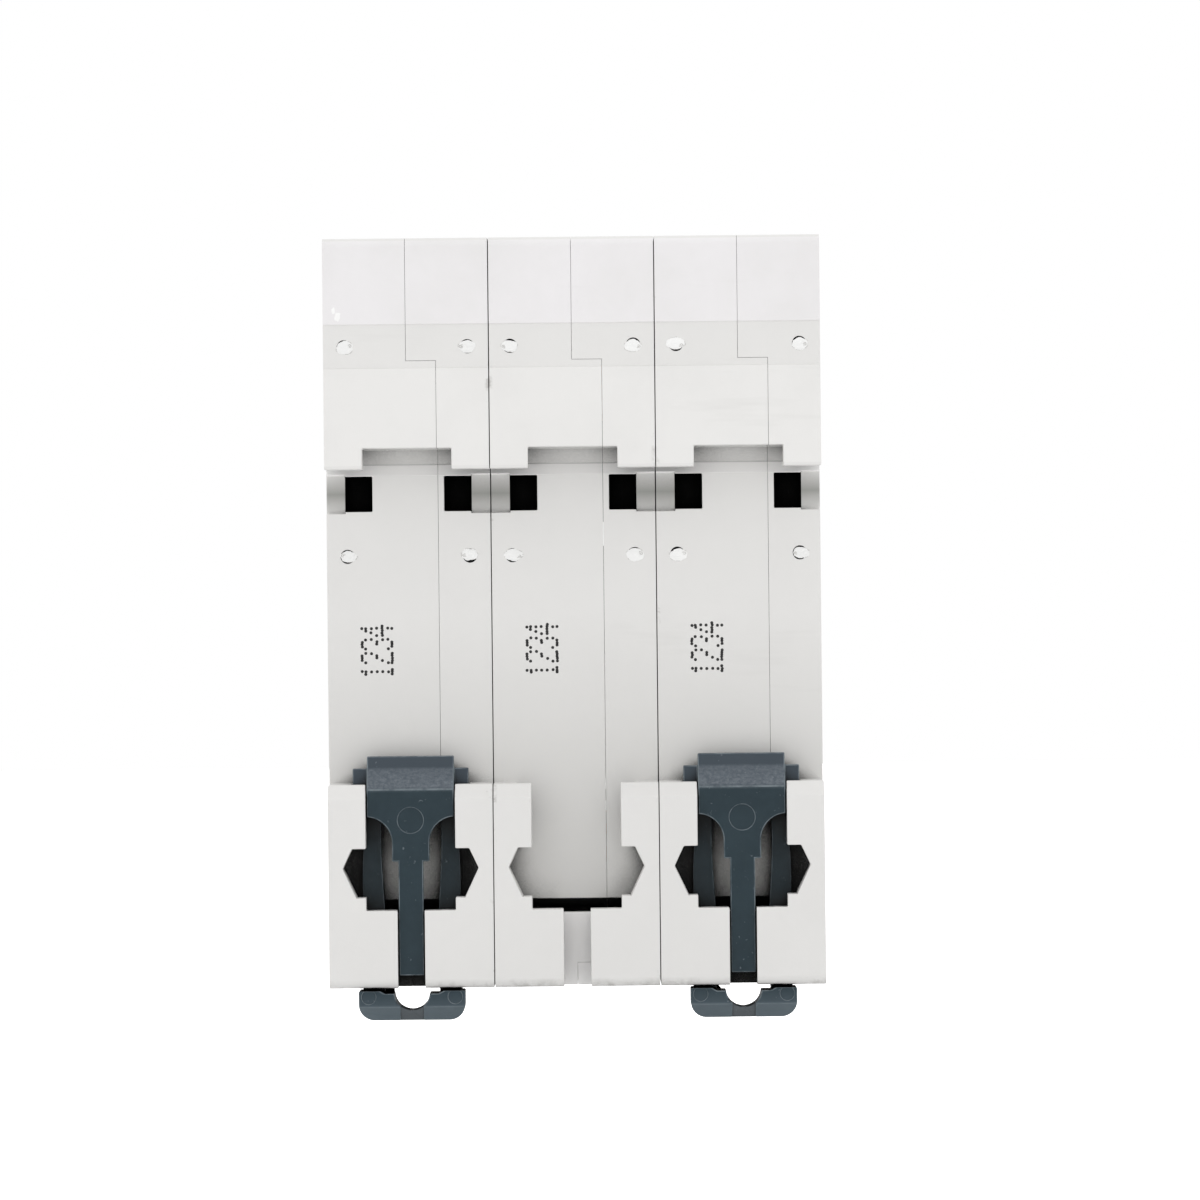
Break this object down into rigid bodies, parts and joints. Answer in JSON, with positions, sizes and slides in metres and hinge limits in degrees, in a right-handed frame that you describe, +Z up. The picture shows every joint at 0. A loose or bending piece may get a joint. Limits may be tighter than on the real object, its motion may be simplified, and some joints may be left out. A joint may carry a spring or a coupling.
{
  "type": "miniature circuit breaker",
  "caption": "Modular circuit breaker for a 35 mm rail, with tied toggles, hollow moulded poles, cage terminals and sliding rail clips.",
  "frame": {"origin": "on the seat for the rail, at the middle line of the rail and the middle of the poles", "axes": "+X across the poles, +Y out of the rear towards the rail, +Z up as mounted"},
  "size_m": [0.053, 0.0757, 0.0835],
  "materials": {
    "housing": "fine matte moulded plastic, pale grey white",
    "toggle": "satin dark moulded plastic",
    "clip": "satin slate grey moulded plastic",
    "stake": "melted white plastic",
    "rivet": "zinc plated, dull",
    "plated_steel": "zinc plated",
    "copper": "bare copper",
    "silver": "satin silver",
    "inner_plastic": "black moulded plastic",
    "brass": "bare metal"
  },
  "bodies": {
    "case": {"case_base_1": "housing", "case_base_2": "housing", "case_base_3": "housing", "case_cover_1": "housing", "case_cover_2": "housing", "case_cover_3": "housing", "fixed_runner_1": "copper", "fixed_runner_2": "copper", "fixed_runner_3": "copper", "arc_chute_1": "plated_steel", "arc_chute_2": "plated_steel", "arc_chute_3": "plated_steel", "coil_winding_1": "copper", "coil_winding_2": "copper", "coil_winding_3": "copper", "coil_bobbin_1": "inner_plastic", "coil_bobbin_2": "inner_plastic", "coil_bobbin_3": "inner_plastic", "plunger_spring_1": "plated_steel", "plunger_spring_2": "plated_steel", "plunger_spring_3": "plated_steel", "bimetal_1": "brass", "bimetal_2": "brass", "bimetal_3": "brass", "fixed_contacts": "silver", "coil_yokes": "plated_steel", "bus_plates": "copper", "adjusting_screws": "brass", "contact_braids": "copper", "arm_pins": "plated_steel", "arm_springs": "plated_steel", "heat_stakes": "stake", "body_rivets": "rivet"},
    "handle": {"toggle_1": "toggle", "toggle_2": "toggle", "toggle_3": "toggle", "tie_bar": "toggle"},
    "links": {"toggle_links": "plated_steel"},
    "arms": {"contact_arm_1": "copper", "contact_arm_2": "copper", "contact_arm_3": "copper", "moving_contacts": "silver"},
    "trip_shaft": {"trip_bar": "inner_plastic"},
    "plunger_body_1": {"plunger_1": "plated_steel"},
    "line_screw_body_1": {"line_screw_1": "plated_steel"},
    "line_cage_body_1": {"line_cage_1": "plated_steel"},
    "load_screw_body_1": {"load_screw_1": "plated_steel"},
    "load_cage_body_1": {"load_cage_1": "plated_steel"},
    "plunger_body_2": {"plunger_2": "plated_steel"},
    "line_screw_body_2": {"line_screw_2": "plated_steel"},
    "line_cage_body_2": {"line_cage_2": "plated_steel"},
    "load_screw_body_2": {"load_screw_2": "plated_steel"},
    "load_cage_body_2": {"load_cage_2": "plated_steel"},
    "plunger_body_3": {"plunger_3": "plated_steel"},
    "line_screw_body_3": {"line_screw_3": "plated_steel"},
    "line_cage_body_3": {"line_cage_3": "plated_steel"},
    "load_screw_body_3": {"load_screw_3": "plated_steel"},
    "load_cage_body_3": {"load_cage_3": "plated_steel"},
    "rail_clip_1_body": {"rail_clip_1": "clip"},
    "rail_clip_2_body": {"rail_clip_2": "clip"}
  },
  "joints": [
    {"name": "toggle_swing", "type": "hinge", "parent": "case", "child": "handle", "pos_m": [0, -0.0504, 0.0005], "axis": [-1, 0, 0], "range_deg": [0, 76]},
    {"name": "link_turn", "type": "hinge", "parent": "handle", "child": "links", "pos_m": [0, -0.04788, 0.00247], "axis": [1, 0, 0], "range_deg": [0, 76]},
    {"name": "arm_swing", "type": "hinge", "parent": "case", "child": "arms", "pos_m": [0, -0.03, -0.008], "axis": [1, 0, 0], "range_deg": [0, 16], "deforming": ["contact_braids"]},
    {"name": "trip_turn", "type": "hinge", "parent": "case", "child": "trip_shaft", "pos_m": [0, -0.033, 0.021], "axis": [-1, 0, 0], "range_deg": [0, 10], "stiffness_Nm_per_rad": 0.005, "springref_deg": -5.73},
    {"name": "plunger_slide_1", "type": "slide", "parent": "case", "child": "plunger_body_1", "axis": [0, -1, 0], "range_m": [0, 0.003], "stiffness_N_per_m": 60, "springref_m": -0.001, "deforming": ["plunger_spring_1"]},
    {"name": "line_screw_turn_1", "type": "hinge", "parent": "case", "child": "line_screw_body_1", "pos_m": [-0.0177, -0.0419, 0.0307], "axis": [0, 1, 0], "range_deg": [0, 3150]},
    {"name": "line_cage_slide_1", "type": "slide", "parent": "case", "child": "line_cage_body_1", "axis": [0, -1, 0], "range_m": [0, 0.007]},
    {"name": "load_screw_turn_1", "type": "hinge", "parent": "case", "child": "load_screw_body_1", "pos_m": [-0.0177, -0.0419, -0.0307], "axis": [0, 1, 0], "range_deg": [0, 3150]},
    {"name": "load_cage_slide_1", "type": "slide", "parent": "case", "child": "load_cage_body_1", "axis": [0, -1, 0], "range_m": [0, 0.007]},
    {"name": "plunger_slide_2", "type": "slide", "parent": "case", "child": "plunger_body_2", "axis": [0, -1, 0], "range_m": [0, 0.003], "stiffness_N_per_m": 60, "springref_m": -0.001, "deforming": ["plunger_spring_2"]},
    {"name": "line_screw_turn_2", "type": "hinge", "parent": "case", "child": "line_screw_body_2", "pos_m": [0, -0.0419, 0.0307], "axis": [0, 1, 0], "range_deg": [0, 3150]},
    {"name": "line_cage_slide_2", "type": "slide", "parent": "case", "child": "line_cage_body_2", "axis": [0, -1, 0], "range_m": [0, 0.007]},
    {"name": "load_screw_turn_2", "type": "hinge", "parent": "case", "child": "load_screw_body_2", "pos_m": [0, -0.0419, -0.0307], "axis": [0, 1, 0], "range_deg": [0, 3150]},
    {"name": "load_cage_slide_2", "type": "slide", "parent": "case", "child": "load_cage_body_2", "axis": [0, -1, 0], "range_m": [0, 0.007]},
    {"name": "plunger_slide_3", "type": "slide", "parent": "case", "child": "plunger_body_3", "axis": [0, -1, 0], "range_m": [0, 0.003], "stiffness_N_per_m": 60, "springref_m": -0.001, "deforming": ["plunger_spring_3"]},
    {"name": "line_screw_turn_3", "type": "hinge", "parent": "case", "child": "line_screw_body_3", "pos_m": [0.0177, -0.0419, 0.0307], "axis": [0, 1, 0], "range_deg": [0, 3150]},
    {"name": "line_cage_slide_3", "type": "slide", "parent": "case", "child": "line_cage_body_3", "axis": [0, -1, 0], "range_m": [0, 0.007]},
    {"name": "load_screw_turn_3", "type": "hinge", "parent": "case", "child": "load_screw_body_3", "pos_m": [0.0177, -0.0419, -0.0307], "axis": [0, 1, 0], "range_deg": [0, 3150]},
    {"name": "load_cage_slide_3", "type": "slide", "parent": "case", "child": "load_cage_body_3", "axis": [0, -1, 0], "range_m": [0, 0.007]},
    {"name": "rail_clip_1_slide", "type": "slide", "parent": "case", "child": "rail_clip_1_body", "axis": [0, 0, -1], "range_m": [0, 0.0035]},
    {"name": "rail_clip_2_slide", "type": "slide", "parent": "case", "child": "rail_clip_2_body", "axis": [0, 0, -1], "range_m": [0, 0.0035]}
  ],
  "couplings": [
    {"joint": "link_turn", "follows": "toggle_swing", "ratio": 1},
    {"joint": "arm_swing", "follows": "toggle_swing", "ratio": 0.21053},
    {"joint": "line_screw_turn_1", "follows": "line_cage_slide_1", "rad_per_m": 7854},
    {"joint": "load_screw_turn_1", "follows": "load_cage_slide_1", "rad_per_m": 7854},
    {"joint": "line_screw_turn_2", "follows": "line_cage_slide_2", "rad_per_m": 7854},
    {"joint": "load_screw_turn_2", "follows": "load_cage_slide_2", "rad_per_m": 7854},
    {"joint": "line_screw_turn_3", "follows": "line_cage_slide_3", "rad_per_m": 7854},
    {"joint": "load_screw_turn_3", "follows": "load_cage_slide_3", "rad_per_m": 7854}
  ]
}
